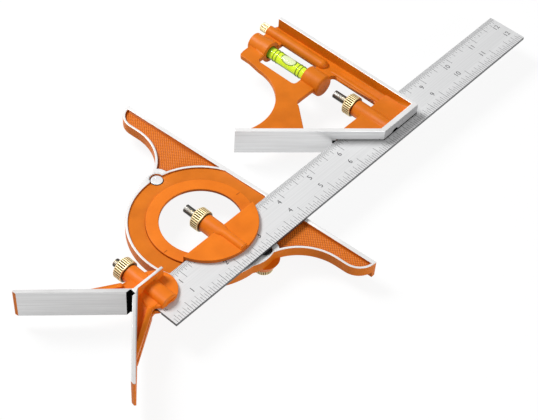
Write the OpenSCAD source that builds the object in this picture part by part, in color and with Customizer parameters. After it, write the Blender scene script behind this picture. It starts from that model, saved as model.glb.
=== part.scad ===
// Combination set: one grooved steel rule carrying a square head, a protractor head and a centre head.
// The rule lies along +X with its zero end at the left. Each head is drawn in its own local frame whose
// origin is on the rule's top face at the edge that its slot wall touches, so that y < 0 is over the rule.

/* [Rule] */
// Rule length
rule_l = 304.8; // [200:0.1:620]
// Rule width
rule_w = 25.4; // [20:0.1:40]
// Rule thickness
rule_t = 2; // [1:0.1:4]
// Width of the clamp groove in the back of the rule
groove_w = 3.2; // [2.6:0.1:5]
// Depth of the clamp groove
groove_d = 0.8; // [0.4:0.1:1.5]

/* [Clamps] */
// Diameter of the three clamp bolts
bolt_d = 5; // [4:0.1:6]
// Diameter of the knurled clamp nuts
nut_d = 12.8; // [10:0.1:18]
// Thickness of the knurled clamp nuts
nut_l = 6; // [4:0.1:10]
// Distance of the bolt's threaded tip from the rule's edge
bolt_reach = 25.6; // [24:0.1:40]
// Diameter of the clamp bosses
boss_d = 10.4; // [9:0.1:14]
// Width of the tooth that sits in the groove
tooth_w = 1.8; // [1:0.1:2.4]
// Draw of a clamp bolt in one turn of its nut
bolt_draw = 0.8; // [0.5:0.1:1]

/* [Square head] */
// Distance of the square face from the rule's zero end
sq_x = 204.7; // [190:0.1:290]
// Casting thickness
sq_t = 17.5; // [14:0.1:24]
// Reach of the square face past the rule's edge
sq_reach = 86.8; // [70:0.1:120]
// How far the head's plates reach over the rule
cover = 19.3; // [17:0.1:22]
// Length of the end face along the rule
sq_end_l = 30.7; // [26:0.1:45]
// Length of the mitre face
mitre_l = 84.9; // [60:0.1:95]
// Thickness of the flange walls
sq_wall = 2.5; // [1.8:0.1:4]
// Thickness of the web
web_t = 3; // [2.4:0.1:5]
// Thickness of the land that holds the rule's slot
land_t = 6.4; // [5.6:0.1:9]
// Distance of the clamp and level axis from the square face
sq_axis = 20.6; // [18:0.1:26]
// Radius of the hollow in the web's back
hollow_r = 30.6; // [25:0.1:33]
// Relief past the rule's edge where its slot leaves the mitre face
slot_relief = 1.6; // [1.5:0.1:2]
// Height of the slot's open mouth above the rule in the mitre and end faces
mouth_h = 1.1; // [0.4:0.1:1.6]

/* [Level and scriber] */
// Outer diameter of the level tube
vial_d = 8; // [6:0.1:10]
// Wall of the level tube
vial_wall = 0.8; // [0.5:0.1:1.2]
// Diameter of the bosses that hold the level tube
vial_boss_d = 13.6; // [11:0.1:16]
// Length of the window round the level tube
vial_win_l = 29; // [20:0.1:34]
// Diameter of the scriber's knob
knob_d = 5.8; // [4.5:0.1:7]
// Length of the scriber's knob
knob_l = 5.7; // [4:0.1:9]
// Length of the scriber's needle inside the head
needle_l = 36; // [20:0.1:38]

/* [Centre head] */
// Length of the upper arm along its inner face
arm_upper_l = 60; // [48:0.1:70]
// Length of the lower arm along its inner face
arm_lower_l = 55; // [48:0.1:70]
// Thickness of the arms
arm_t = 2.8; // [2:0.1:4]
// Share of the lower arm's length that the webs reach
web_reach = 0.66; // [0.5:0.01:0.8]
// Casting thickness of the centre head
ce_t = 19; // [15:0.1:24]
// Distance of the V's corner before the rule's zero end
vee_x = 5.9; // [4:0.1:12]
// Distance of the centre head's clamp from the rule's zero end
ce_axis = 6.8; // [6:0.1:12]
// Radius of the round plate over the rule
ce_plate_r = 11.8; // [11:0.1:13]
// Height of the round plate over the rule
ce_plate_t = 2; // [1.7:0.1:3]

/* [Protractor head] */
// Distance of the frame's ring from the rule's zero end
tu_lead = 18.3; // [18:0.1:60]
// Distance of the turret's axis from the rule's edge
tu_y = 14.2; // [12:0.1:18]
// Radius of the turret's raised ring
tu_r = 30.1; // [28:0.1:33]
// Radius of the turret's window
win_r = 22.9; // [18:0.1:25]
// Thickness of the lip round the turret's window
lip_t = 1.8; // [1.4:0.1:3]
// Swing of the base edge away from square
swing = 3.6; // [-10:0.1:30]
// Distance of the base edge from the turret's raised ring
base_w = 9.1; // [8:0.1:16]
// Half length of the base edge, to the centre of its rounded tip
tip_y = 76.8; // [72:0.1:95]
// Radius of the wing tips
tip_r = 11.4; // [10:0.1:12]
// Width of the frame's ring round the turret
ring_w = 10.8; // [9:0.1:14]
// Width of the raised machined rims round the ring and wings
rim_w = 1.5; // [1.2:0.1:3]
// Width of the raised machined rim along the base edge
base_rim = 2.4; // [1.8:0.1:4]
// Depth of the wall along the base edge
base_t = 10.7; // [8:0.1:14]
// Depth of the wall round the ring and wings
frame_t = 6.5; // [6:0.1:8]

/* [Turret locks] */
// Distance of the lock bolts from the turret's flange
lock_gap = 1.8; // [1:0.1:4]
// Diameter of the lock bolts
lock_d = 4.8; // [4:0.1:5]
// Diameter of the lock bolts' heads
lock_head_d = 7.4; // [6.6:0.1:8]
// Diameter of the knurled lock nuts
lock_nut_d = 10.6; // [8:0.1:12]
// Thickness of the lock nuts
lock_nut_l = 4; // [3:0.1:6]

/* [Clearances] */
// Clearance of the rule in each slot
slide_gap = 0.05; // [0.02:0.01:0.1]
// Radial clearance of bolts and the turret in their bores
run_gap = 0.05; // [0.02:0.01:0.1]
// Gap between faces that pass each other
pass_gap = 0.3; // [0.2:0.05:0.5]

/* [Hidden] */
$fn = 96;

// Heights, from the rule's top face
mid_z = -rule_t / 2;
slot_z0 = -rule_t - slide_gap;
rim_z = -rule_t - pass_gap;
floor_z = rim_z - 0.9;
shelf_z = floor_z - 2.6;
frame_z0 = rim_z - frame_t;
base_z0 = rim_z - base_t;
flange_z0 = frame_z0 + 0.2;
shoe_l = 5.2;
shoe_z0 = frame_z0 - slide_gap - shoe_l;
lock_nut_z1 = shoe_z0 - slide_gap;
ground_z = lock_nut_z1 - lock_nut_l;

// Clamp bolt, along +Y of a head's frame
groove_y = -rule_w / 2;
tooth_y1 = groove_y + groove_w / 2 - 0.02;
bolt_y0 = tooth_y1 - tooth_w - 0.3;
sq_seat = 9.6;
ce_seat = 15.6;
tu_seat = 11.3;

// Square head outline
mitre_x = -sq_end_l - mitre_l * sin(45);
mitre_y = -cover + mitre_l * cos(45);
hollow_x = mitre_x + 21.8;
hollow_y = mitre_y + 29.5;
back_x = hollow_x + hollow_r + 1.5;
top_y = sq_reach + 2;
open_x1 = -9.9;
open_y0 = 2.1;
open_y1 = 36.4;
win_y0 = 47.1;
win_y1 = win_y0 + vial_win_l;
boss_y0 = win_y0 - 12;
boss_y1 = win_y1 + 14;
boss_end_d = vial_boss_d - 2;
scribe_x = -8.3;
scribe_z = mid_z + 1.5;
ridge_r = 3.4;
ridge_y0 = 46.1;
knob_y0 = top_y + 0.05;
bush_l = 8;

// Frame and turret flange, from the turret's ring
base_x = tu_r + base_w;
ring_r = tu_r + ring_w;
tu_x = tu_lead + ring_r;
flange_r = tu_r + 4.5;
plate_r = 28.4;
plate_y = tu_y - 3.6;
plate_t = 2.3;
riser = 1.5;
turret_ridge_r = 2.7;

// Lock positions in the frame, mirrored about the base edge's normal
lock_r = flange_r + lock_d / 2 + lock_gap;
lock_turn = 79.5;
lock_x = lock_r * cos(lock_turn);
lock_y = lock_r * sin(lock_turn);
lug_r = 19;
lug_out = 5;
lock_seat_z = floor_z - 1.3;
lock_top_z = lock_seat_z + 1.5;

// Wing outline
tip_x = base_x - 0.6;
wing_x = tip_x - tip_r;
wing_r = 29.9;
wing_y = sqrt(pow(ring_r + wing_r - 0.15, 2) - pow(wing_x - wing_r, 2));

// Origin under the middle of the bounding box
x_min = arm_at(max(arm_upper_l, arm_lower_l), 1.2, 1)[0];
tip_end = tip_y + sqrt(pow(tip_r, 2) - pow(base_x - tip_x, 2));
y_axis = rule_w + tu_y;
y_max = y_axis + base_x * sin(swing) + tip_end * cos(swing);
y_min = y_axis + tip_x * sin(swing) - tip_y * cos(swing) - tip_r;
origin = [(x_min + rule_l) / 2, (y_min + y_max) / 2, ground_z];

module placed() {
  translate(-origin) children();
}

module slab(z0, z1) {
  translate([0, 0, z0]) linear_extrude(z1 - z0) children();
}

module rod(d, y0, y1, x, z) {
  translate([x, y0, z]) rotate([-90, 0, 0]) cylinder(d = d, h = y1 - y0);
}

module round_rect(x0, y0, x1, y1, r) {
  translate([x0 + r, y0]) square([x1 - x0 - 2 * r, y1 - y0]);
  translate([x0, y0 + r]) square([x1 - x0, y1 - y0 - 2 * r]);
  for (x = [x0 + r, x1 - r])
    for (y = [y0 + r, y1 - r])
      translate([x, y]) circle(r = r);
}

module on_rule(x) {
  placed() translate([x, rule_w, 0]) children();
}

module on_frame() {
  on_rule(tu_x) translate([0, tu_y, 0]) rotate([0, 0, swing]) children();
}

// The rule: a flat bar with the clamp groove along its back
module rule_blade() {
  color("Gainsboro") placed() difference() {
    translate([0, 0, -rule_t]) cube([rule_l, rule_w, rule_t]);
    translate([-1, rule_w + groove_y - groove_w / 2, -rule_t - 1]) cube([rule_l + 2, groove_w, groove_d + 1]);
  }
}

// The rule's slot in a head, open towards the rule's free edge
module rule_slot(x0, x1) {
  translate([x0, -rule_w - 10, slot_z0]) cube([x1 - x0, rule_w + 10 + slide_gap, rule_t + 2 * slide_gap]);
}

// Bore for a clamp bolt, past the slot to the boss's end
module bolt_bore(x, seat) {
  rod(bolt_d + 2 * run_gap, bolt_y0 - 1.4, seat + 1, x, mid_z);
}

// A clamp bolt: half cut away under the rule, with a tooth in the groove
module clamp_bolt(x) {
  difference() {
    union() {
      rod(bolt_d, bolt_y0, bolt_reach - 0.6, x, mid_z);
      translate([x, bolt_reach - 0.6, mid_z]) rotate([-90, 0, 0])
        cylinder(d1 = bolt_d, d2 = bolt_d - 1.2, h = 0.6);
    }
    difference() {
      translate([x - bolt_d, bolt_y0 - 1, slot_z0 - 0.05])
        cube([2 * bolt_d, bolt_draw + slide_gap + 0.1 - bolt_y0 + 1, bolt_d]);
      translate([x - bolt_d, tooth_y1 - tooth_w, slot_z0 - 0.06])
        cube([2 * bolt_d, tooth_w, groove_d + 0.05]);
    }
  }
}

// A knurled nut on a clamp bolt, with chamfered rims
module clamp_nut(x, seat) {
  translate([x, seat + 0.02, mid_z]) rotate([-90, 0, 0]) difference() {
    union() {
      cylinder(d1 = nut_d - 1.2, d2 = nut_d, h = 0.6);
      translate([0, 0, 0.6]) cylinder(d = nut_d, h = nut_l - 1.2);
      translate([0, 0, nut_l - 0.6]) cylinder(d1 = nut_d, d2 = nut_d - 1.2, h = 0.6);
    }
    translate([0, 0, -1]) cylinder(d = bolt_d + 2 * run_gap, h = nut_l + 2);
  }
}

// Square head
module square_walls() {
  polygon([[-sq_wall, -cover], [0, -cover], [0, sq_reach], [-sq_wall, sq_reach]]);
  polygon([[-sq_end_l, -cover], [0, -cover], [0, -cover + sq_wall + 0.7], [-sq_end_l, -cover + sq_wall + 0.7]]);
  polygon([[-sq_end_l, -cover], [-sq_end_l + sq_wall * sqrt(2), -cover],
           [mitre_x + sq_wall / sqrt(2), mitre_y + sq_wall / sqrt(2)], [mitre_x, mitre_y]]);
}

module square_web() {
  difference() {
    polygon([[0, -cover], [0, sq_reach], [-5, top_y], [back_x + 4, top_y - 1], [back_x + 1, top_y - 1.6],
             [back_x, top_y - 3.2], [back_x, hollow_y + 9], [hollow_x + hollow_r, hollow_y],
             [hollow_x, hollow_y], [mitre_x + 11, mitre_y + 1],
             [mitre_x + sq_wall / sqrt(2), mitre_y + sq_wall / sqrt(2)], [mitre_x, mitre_y],
             [-sq_end_l, -cover]]);
    translate([hollow_x, hollow_y]) circle(r = hollow_r);
    square_opening();
    round_rect(-sq_axis - 12.1, win_y0, -sq_axis + 6.3, win_y1, 1.8);
  }
}

module square_land() {
  polygon([[0, -cover], [0, open_y0], [mitre_x + mitre_y - open_y0, open_y0], [-sq_end_l, -cover]]);
}

// A band just inside the mitre and end faces, over the rule
module square_mouth() {
  intersection() {
    difference() {
      offset(delta = 0.1) square_land();
      offset(delta = -1.6) square_land();
    }
    translate([mitre_x - 10, -cover - 1]) square([7 - mitre_x, cover + 1 + slide_gap]);
  }
}

module square_opening() {
  round_rect(-44, open_y0, open_x1, open_y1, 3);
  polygon([[-30, open_y0], [-30, open_y1], [-40.5, open_y1], [-42.6, open_y1 - 1.2],
           [mitre_x + sq_wall * sqrt(2) + mitre_y - 14, 14],
           [mitre_x + sq_wall * sqrt(2) + mitre_y - open_y0, open_y0]]);
}

module square_casting() {
  color("DarkOrange") on_rule(sq_x) difference() {
    union() {
      slab(mid_z - sq_t / 2, mid_z + sq_t / 2) square_walls();
      slab(mid_z - web_t / 2, mid_z + web_t / 2) square_web();
      slab(mid_z - land_t / 2, mid_z + land_t / 2) square_land();
      rod(boss_d, -cover + sq_wall, sq_seat, -sq_axis, mid_z);
      rod(vial_boss_d, boss_y0, win_y0, -sq_axis, mid_z);
      translate([-sq_axis, win_y1, mid_z]) rotate([-90, 0, 0])
        cylinder(d1 = vial_boss_d, d2 = boss_end_d, h = boss_y1 - win_y1);
      rod(2 * ridge_r, ridge_y0, top_y, scribe_x, scribe_z);
      translate([scribe_x, ridge_y0, scribe_z]) sphere(r = ridge_r);
    }
    rule_slot(mitre_x - 1, 1);
    translate([mitre_x + mitre_y - slot_relief - 1, 0, slot_z0])
      cube([slot_relief + 1 + sq_wall * sqrt(2), slot_relief, rule_t + 2 * slide_gap]);
    slab(0, mouth_h) square_mouth();
    bolt_bore(-sq_axis, sq_seat);
    rod(bolt_d + 1.4, -cover - 1, bolt_y0 - 1, -sq_axis, mid_z);
    rod(vial_d + 0.1, win_y0 - 7, boss_y1 + 1, -sq_axis, mid_z);
    rod(2.6, top_y - needle_l - 1.5, top_y + 1, scribe_x, scribe_z);
    rod(4.4, top_y - bush_l, top_y + 1, scribe_x, scribe_z);
  }
}

module square_bolt() {
  color("Silver") on_rule(sq_x) clamp_bolt(-sq_axis);
}

module square_nut() {
  color("Goldenrod") on_rule(sq_x) clamp_nut(-sq_axis, sq_seat);
}

// Level: a glass tube closed by a plug, with a bubble left in its fluid
module level_tube() {
  color("LightYellow") on_rule(sq_x) difference() {
    rod(vial_d, win_y0 - 7, win_y1 + 7, -sq_axis, mid_z);
    rod(vial_d - 2 * vial_wall, win_y0 - 5.5, win_y1 + 5.5, -sq_axis, mid_z);
  }
}

module level_fluid() {
  color("YellowGreen") on_rule(sq_x) difference() {
    rod(vial_d - 2 * vial_wall, win_y0 - 5.5, win_y1 + 5.5, -sq_axis, mid_z);
    bubble();
  }
}

module bubble() {
  bub_r = vial_d / 2 - vial_wall - 0.9;
  bub_z = mid_z + 0.7;
  rod(2 * bub_r, win_y0 + 8, win_y0 + 17, -sq_axis, bub_z);
  for (y = [win_y0 + 8, win_y0 + 17])
    translate([-sq_axis, y, bub_z]) sphere(r = bub_r);
}

module level_plug() {
  color("DimGray") on_rule(sq_x) rod(vial_d, win_y1 + 7, boss_y1 - 0.8, -sq_axis, mid_z);
}

// Scriber: a needle pressed in a knob, held by a bush in the square head
module scriber_bush() {
  color("Peru") on_rule(sq_x) difference() {
    rod(4.4, top_y - bush_l, top_y, scribe_x, scribe_z);
    rod(2 + 2 * run_gap, top_y - bush_l - 1, top_y + 1, scribe_x, scribe_z);
  }
}

module scriber_needle() {
  color("Silver") on_rule(sq_x) {
    rod(2, top_y - needle_l + 7, knob_y0 + knob_l - 1.5, scribe_x, scribe_z);
    translate([scribe_x, top_y - needle_l, scribe_z]) rotate([-90, 0, 0]) cylinder(d1 = 0.3, d2 = 2, h = 7);
  }
}

module scriber_knob() {
  color("Goldenrod") on_rule(sq_x) difference() {
    union() {
      rod(knob_d, knob_y0, knob_y0 + knob_l - 0.6, scribe_x, scribe_z);
      translate([scribe_x, knob_y0 + knob_l - 0.6, scribe_z]) rotate([-90, 0, 0])
        cylinder(d1 = knob_d, d2 = knob_d - 1.2, h = 0.6);
    }
    rod(2, knob_y0 - 1, knob_y0 + knob_l - 1.5, scribe_x, scribe_z);
  }
}

// Centre head
// A point of an arm: u along its inner face from the V's corner, v into its thickness
function arm_at(u, v, s) = [-vee_x + (v - u) / sqrt(2), s * (u + v) / sqrt(2)];

module center_arm(l, s) {
  polygon([[-vee_x, 0], [-vee_x + arm_t * sqrt(2), 0], arm_at(l, arm_t - 0.5, s), arm_at(l, 1.2, s),
           arm_at(l - 1.7, 0, s)]);
}

module center_arms() {
  center_arm(arm_upper_l, 1);
  center_arm(arm_lower_l, -1);
}

module center_web() {
  for (s = [-1, 1])
    polygon([[-vee_x + arm_t, 0], arm_at(arm_lower_l * web_reach, arm_t / 2, s), [-4.5, s * 11.6],
             [3, s * 10.2], [9, 0]]);
}

module center_ribs() {
  for (s = [-1, 1])
    hull() {
      translate(arm_at(arm_lower_l * web_reach - 2, arm_t / 2 + 0.6, s)) circle(r = 1);
      translate([-4.3, s * 10.6]) circle(r = 1.3);
    }
}

module center_plate() {
  translate([ce_axis + 0.8, -2.7]) circle(r = ce_plate_r);
}

module center_casting() {
  color("DarkOrange") on_rule(0) difference() {
    union() {
      slab(mid_z - ce_t / 2, mid_z + ce_t / 2) center_arms();
      slab(mid_z - ce_t / 2, mid_z + ce_t / 2) translate([-vee_x + 1, slide_gap]) square([vee_x + 15.4, 1.7]);
      slab(mid_z - land_t / 2, mid_z + land_t / 2) center_web();
      slab(mid_z - land_t / 2, ce_plate_t) center_plate();
      slab(mid_z - land_t / 2 - 1.4, mid_z + land_t / 2 + 1.4) center_ribs();
      rod(boss_d, bolt_y0 - 0.6, ce_seat, ce_axis, mid_z);
    }
    translate([-vee_x - 4, -1.4, mid_z - ce_t]) cube([4.8, 3.6, 2 * ce_t]);
    rule_slot(-vee_x - arm_lower_l, 40);
    bolt_bore(ce_axis, ce_seat);
  }
}

module center_bolt() {
  color("Silver") on_rule(0) clamp_bolt(ce_axis);
}

module center_nut() {
  color("Goldenrod") on_rule(0) clamp_nut(ce_axis, ce_seat);
}

// Turret: a ring with a window, a flange under the frame's shelf and a plate over the rule
module turret() {
  color("DarkOrange") on_rule(tu_x) difference() {
    union() {
      difference() {
        union() {
          slab(shelf_z - slide_gap, slot_z0) translate([0, tu_y]) circle(r = tu_r);
          slab(flange_z0, shelf_z - slide_gap) translate([0, tu_y]) circle(r = flange_r);
        }
        slab(flange_z0 - 1, 1) turret_window(win_r);
        slab(flange_z0 - 1, slot_z0 - lip_t) turret_window(tu_r - 2.8);
      }
      slab(slot_z0 - 1, plate_t) turret_plate();
      intersection() {
        rod(boss_d, 0, tu_seat, 0, mid_z);
        slab(flange_z0, boss_d) translate([0, tu_y]) circle(r = tu_r);
      }
      intersection() {
        turret_ridge();
        translate([-boss_d, -rule_w, 0]) cube([2 * boss_d, rule_w + riser, boss_d]);
      }
    }
    rule_slot(-60, 60);
    bolt_bore(0, tu_seat);
  }
}

module turret_window(r) {
  intersection() {
    translate([0, tu_y]) circle(r = r);
    translate([-r, riser]) square([2 * r, tu_y + r]);
  }
}

module turret_ridge() {
  rod(2 * turret_ridge_r, bolt_y0 - 1, riser, 0, 1.6);
  translate([0, bolt_y0 - 1, 1.6]) sphere(r = turret_ridge_r);
}

module turret_plate() {
  intersection() {
    translate([0, plate_y]) circle(r = plate_r);
    translate([-plate_r, -rule_w]) square([2 * plate_r, rule_w + riser]);
  }
}

module turret_bolt() {
  color("Silver") on_rule(tu_x) clamp_bolt(0);
}

module turret_nut() {
  color("Goldenrod") on_rule(tu_x) clamp_nut(0, tu_seat);
}

// Protractor frame: ring and two wings along the base edge, mirrored about its normal
module wing(inset, edge) {
  difference() {
    union() {
      square([base_x - edge, tip_y]);
      intersection() {
        translate([tip_x, tip_y]) circle(r = tip_r - inset);
        square([base_x - edge, tip_y + tip_r]);
      }
    }
    translate([wing_x - wing_r, wing_y]) circle(r = wing_r + inset);
    translate([-1, wing_y]) square([wing_x + inset + 1, tip_y - wing_y]);
  }
}

module frame_outline() {
  intersection() {
    circle(r = ring_r);
    translate([-ring_r, -ring_r]) square([ring_r + base_x, 2 * ring_r]);
  }
  for (m = [0, 1])
    mirror([0, m]) {
      wing(0, 0);
      rotate(lock_turn) translate([lock_r + lug_out - lug_r, 0]) circle(r = lug_r);
    }
}

module frame_recess() {
  intersection() {
    circle(r = ring_r - rim_w);
    translate([-ring_r, -ring_r]) square([base_x - base_rim + ring_r, 2 * ring_r]);
  }
}

module frame_pocket() {
  difference() {
    wing(rim_w, base_rim);
    circle(r = ring_r);
    translate([lock_x, lock_y]) circle(r = 8);
  }
}

module protractor_frame() {
  color("DarkOrange") on_frame() difference() {
    union() {
      slab(frame_z0, rim_z) frame_outline();
      slab(base_z0, rim_z) intersection() {
        frame_outline();
        translate([base_x - base_rim, -tip_y - tip_r]) square([base_rim, 2 * (tip_y + tip_r)]);
      }
    }
    slab(floor_z, 1) frame_recess();
    for (m = [0, 1])
      mirror([0, m, 0]) {
        slab(rim_z - 1.7, 1) frame_pocket();
        slab(base_z0 - 1, rim_z - 4.2) frame_pocket();
      }
    slab(base_z0 - 1, 1) circle(r = tu_r + run_gap);
    slab(base_z0 - 1, shelf_z) circle(r = flange_r + pass_gap);
    for (s = [-1, 1])
      translate([lock_x, s * lock_y, 0]) {
        slab(lock_seat_z, 1) circle(d = lock_head_d + 2 * pass_gap);
        slab(base_z0 - 1, 1) circle(d = lock_d + 2 * run_gap);
      }
  }
}

// Turret locks: a bolt from the front, a shoe under the flange and a knurled nut
module lock_at(s) {
  on_frame() translate([lock_x, s * lock_y, 0]) children();
}

module lock_bolt(s) {
  color("Silver") lock_at(s) {
    slab(lock_seat_z + 0.02, lock_top_z) circle(d = lock_head_d);
    slab(ground_z + 0.3, lock_seat_z + 0.5) circle(d = lock_d);
  }
}

module lock_shoe(s) {
  color("DarkOrange") lock_at(s) difference() {
    translate([0, 0, shoe_z0]) cylinder(r1 = 6.2, r2 = 8.6, h = shoe_l);
    slab(shoe_z0 - 1, frame_z0 + 1) circle(d = lock_d + 2 * run_gap);
  }
}

module lock_nut(s) {
  color("Goldenrod") lock_at(s) difference() {
    union() {
      translate([0, 0, ground_z]) cylinder(d1 = lock_nut_d - 1, d2 = lock_nut_d, h = 0.5);
      slab(ground_z + 0.5, lock_nut_z1 - 0.5) circle(d = lock_nut_d);
      translate([0, 0, lock_nut_z1 - 0.5]) cylinder(d1 = lock_nut_d, d2 = lock_nut_d - 1, h = 0.5);
    }
    slab(ground_z - 1, lock_nut_z1 + 1) circle(d = lock_d + 2 * run_gap);
  }
}

module lock_bolt_upper() { lock_bolt(1); }
module lock_bolt_lower() { lock_bolt(-1); }
module lock_shoe_upper() { lock_shoe(1); }
module lock_shoe_lower() { lock_shoe(-1); }
module lock_nut_upper() { lock_nut(1); }
module lock_nut_lower() { lock_nut(-1); }

rule_blade();
square_casting();
square_bolt();
square_nut();
level_tube();
level_fluid();
level_plug();
scriber_bush();
scriber_needle();
scriber_knob();
center_casting();
center_bolt();
center_nut();
turret();
turret_bolt();
turret_nut();
protractor_frame();
lock_bolt_upper();
lock_bolt_lower();
lock_shoe_upper();
lock_shoe_lower();
lock_nut_upper();
lock_nut_lower();
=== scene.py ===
from math import radians

import bmesh
import bpy
import numpy as np
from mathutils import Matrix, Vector

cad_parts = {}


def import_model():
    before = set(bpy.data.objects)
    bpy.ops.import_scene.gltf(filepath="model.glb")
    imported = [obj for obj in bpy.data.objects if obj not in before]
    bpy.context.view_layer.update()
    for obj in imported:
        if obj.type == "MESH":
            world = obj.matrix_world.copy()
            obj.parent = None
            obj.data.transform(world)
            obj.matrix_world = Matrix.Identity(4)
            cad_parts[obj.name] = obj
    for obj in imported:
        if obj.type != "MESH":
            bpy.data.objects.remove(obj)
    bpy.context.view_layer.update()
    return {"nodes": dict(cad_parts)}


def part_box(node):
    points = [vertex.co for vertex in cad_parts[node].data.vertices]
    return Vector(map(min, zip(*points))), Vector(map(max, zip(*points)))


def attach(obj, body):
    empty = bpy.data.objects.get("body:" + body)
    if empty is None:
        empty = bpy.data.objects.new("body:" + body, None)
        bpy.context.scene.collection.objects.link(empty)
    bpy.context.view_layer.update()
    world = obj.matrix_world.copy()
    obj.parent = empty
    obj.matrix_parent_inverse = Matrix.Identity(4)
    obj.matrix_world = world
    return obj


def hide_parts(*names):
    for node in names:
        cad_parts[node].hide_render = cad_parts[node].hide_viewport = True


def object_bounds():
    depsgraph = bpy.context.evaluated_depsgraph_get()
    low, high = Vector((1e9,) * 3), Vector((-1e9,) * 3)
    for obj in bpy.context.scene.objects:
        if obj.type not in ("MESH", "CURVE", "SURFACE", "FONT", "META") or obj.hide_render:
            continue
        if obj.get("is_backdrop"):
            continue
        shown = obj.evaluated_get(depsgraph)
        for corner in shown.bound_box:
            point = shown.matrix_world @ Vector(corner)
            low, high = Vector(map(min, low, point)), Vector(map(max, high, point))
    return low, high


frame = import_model()
nodes = frame["nodes"]


# Measures, in mm from the rule's corner at its zero end, on the graduated face

MM, INCH = 0.001, 25.4
rule_low, rule_high = (np.array(c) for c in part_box("rule_blade"))
CORNER = np.array([rule_low[0], rule_low[1], rule_high[2]])
RULE_W, RULE_T = (rule_high - rule_low)[1:] / MM
HEADS, SIDES = ("square", "center", "turret"), ("upper", "lower")
NEAR = 0.1  # how close to a plane the middle of a face lies that belongs to it

# Square head: the clamp's axis back from the square face, x + y on the mitre face, the scriber's barrel,
# and the gap in the foot of the end face with the arc of the clamp's bore
SQUARE_AXIS, MITRE_SUM, BARREL_R = 20.6, 180.1, 3.43
NOTCH_R, NOTCH_DEEP, FOOT_GAP = 3.0, 0.35, 1.2
# Level: how deep the tube sits in each boss, and the length of its window
TUBE_SEAT, TUBE_WINDOW = 7, 29
# Centre head: the V's corner, before the rule's zero end
VEE_X = 5.9
# Turret: its axis, the height of its ring, the rounds of its ridge and barrel, and the bolt's room under a ridge
TURRET = np.array([59.2, RULE_W + 14.2])
RING_TOP, RIDGE_R, TURRET_BARREL_R, BOLT_ROOM = -2.05, 2.75, 5.24, 2.8
# Protractor frame, from the turret's axis and before its turn of SWING degrees: ring, rims, base edge, lock boss,
# floor, and the rounds of a wing's tip and of its hollow side
SWING = 3.6
RING_R, RIM, BASE_X, BASE_RIM = 40.9, 1.5, 39.2, 2.4
LOCK, LOCK_R, FLOOR_Z = (7.07, 38.15), 8.0, -4.0
TIP, TIP_R = (38.6, 76.8), 11.4
HOLLOW_R = 29.9
HOLLOW = (27.2 - HOLLOW_R, 70.6)


def world(points):
    """Millimetres from the rule's corner, turned into metres in the shared frame."""
    return np.asarray(points, float) * MM + CORNER


def in_mm(node):
    """A node's lowest and highest corners, in mm from the rule's corner."""
    return [(np.array(c) - CORNER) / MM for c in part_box(node)]


# Finishes

def shader(name, sockets):
    """A material whose plain numbers and colours sit on the shader's own sockets."""
    mat = bpy.data.materials.new(name)
    mat.use_nodes = True
    bsdf = mat.node_tree.nodes["Principled BSDF"]
    for key, value in sockets.items():
        bsdf.inputs[key].default_value = value
    return mat, mat.node_tree, bsdf


def grain(tree, scale, stretch=(1, 1, 1), detail=4.0):
    """Noise on object coordinates, squeezed along each axis by stretch."""
    coord = tree.nodes.new("ShaderNodeTexCoord")
    squeezed = tree.nodes.new("ShaderNodeMapping")
    squeezed.inputs["Scale"].default_value = stretch
    noise = tree.nodes.new("ShaderNodeTexNoise")
    noise.inputs["Scale"].default_value = scale
    noise.inputs["Detail"].default_value = detail
    tree.links.new(coord.outputs["Object"], squeezed.inputs["Vector"])
    tree.links.new(squeezed.outputs["Vector"], noise.inputs["Vector"])
    return noise.outputs["Fac"]


def crest_height(tree):
    """The height from 0 to 1 that a mesh carries at its points, for its finish."""
    height = tree.nodes.new("ShaderNodeAttribute")
    height.attribute_name = "crest"
    return height.outputs["Fac"]


def tint(tree, value, stops, socket):
    """A colour ramp through stops of (position, colour), into a colour socket."""
    ramp = tree.nodes.new("ShaderNodeValToRGB")
    marks = ramp.color_ramp.elements
    for mark, (place, colour) in zip(marks, (stops[0], stops[-1])):
        mark.position, mark.color = place, (*colour, 1)
    for place, colour in stops[1:-1]:
        marks.new(place).color = (*colour, 1)
    tree.links.new(value, ramp.inputs["Fac"])
    tree.links.new(ramp.outputs["Color"], socket)


def spread(tree, value, low, high, socket):
    """The middle of a noise, from 0.3 to 0.7, spread from low to high, into a number socket."""
    span = tree.nodes.new("ShaderNodeMapRange")
    for key, number in (("From Min", 0.3), ("From Max", 0.7), ("To Min", low), ("To Max", high)):
        span.inputs[key].default_value = number
    tree.links.new(value, span.inputs["Value"])
    tree.links.new(span.outputs["Result"], socket)


def relief(tree, value, depth, strength, bsdf):
    """Fine unevenness, depth in mm, under the shader's highlights."""
    bump = tree.nodes.new("ShaderNodeBump")
    bump.inputs["Distance"].default_value = depth * MM
    bump.inputs["Strength"].default_value = strength
    tree.links.new(value, bump.inputs["Height"])
    tree.links.new(bump.outputs["Normal"], bsdf.inputs["Normal"])


def orange_enamel(name, dark, light):
    """Stoved enamel: a slow mottle in the colour, and an orange-peel skin about a millimetre across."""
    mat, tree, bsdf = shader(name, {"Specular IOR Level": 0.2, "Coat Weight": 0.02, "Coat Roughness": 0.2})
    between = tuple((np.array(dark) + light) / 2)
    tint(tree, grain(tree, 90.0), [(0.3, dark), (0.5, between), (0.7, light)], bsdf.inputs["Base Color"])
    spread(tree, grain(tree, 240.0), 0.42, 0.56, bsdf.inputs["Roughness"])
    relief(tree, grain(tree, 900.0, detail=2.0), 0.02, 0.35, bsdf)
    return mat


def hatched_enamel(name, stops):
    """Enamel over a hatched floor: bright on the crests, with painted shade deep in the grooves."""
    mat, tree, bsdf = shader(name, {"Specular IOR Level": 0.3})
    tint(tree, crest_height(tree), stops, bsdf.inputs["Base Color"])
    spread(tree, grain(tree, 240.0), 0.4, 0.55, bsdf.inputs["Roughness"])
    relief(tree, grain(tree, 1200.0), 0.02, 0.35, bsdf)
    return mat


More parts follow.
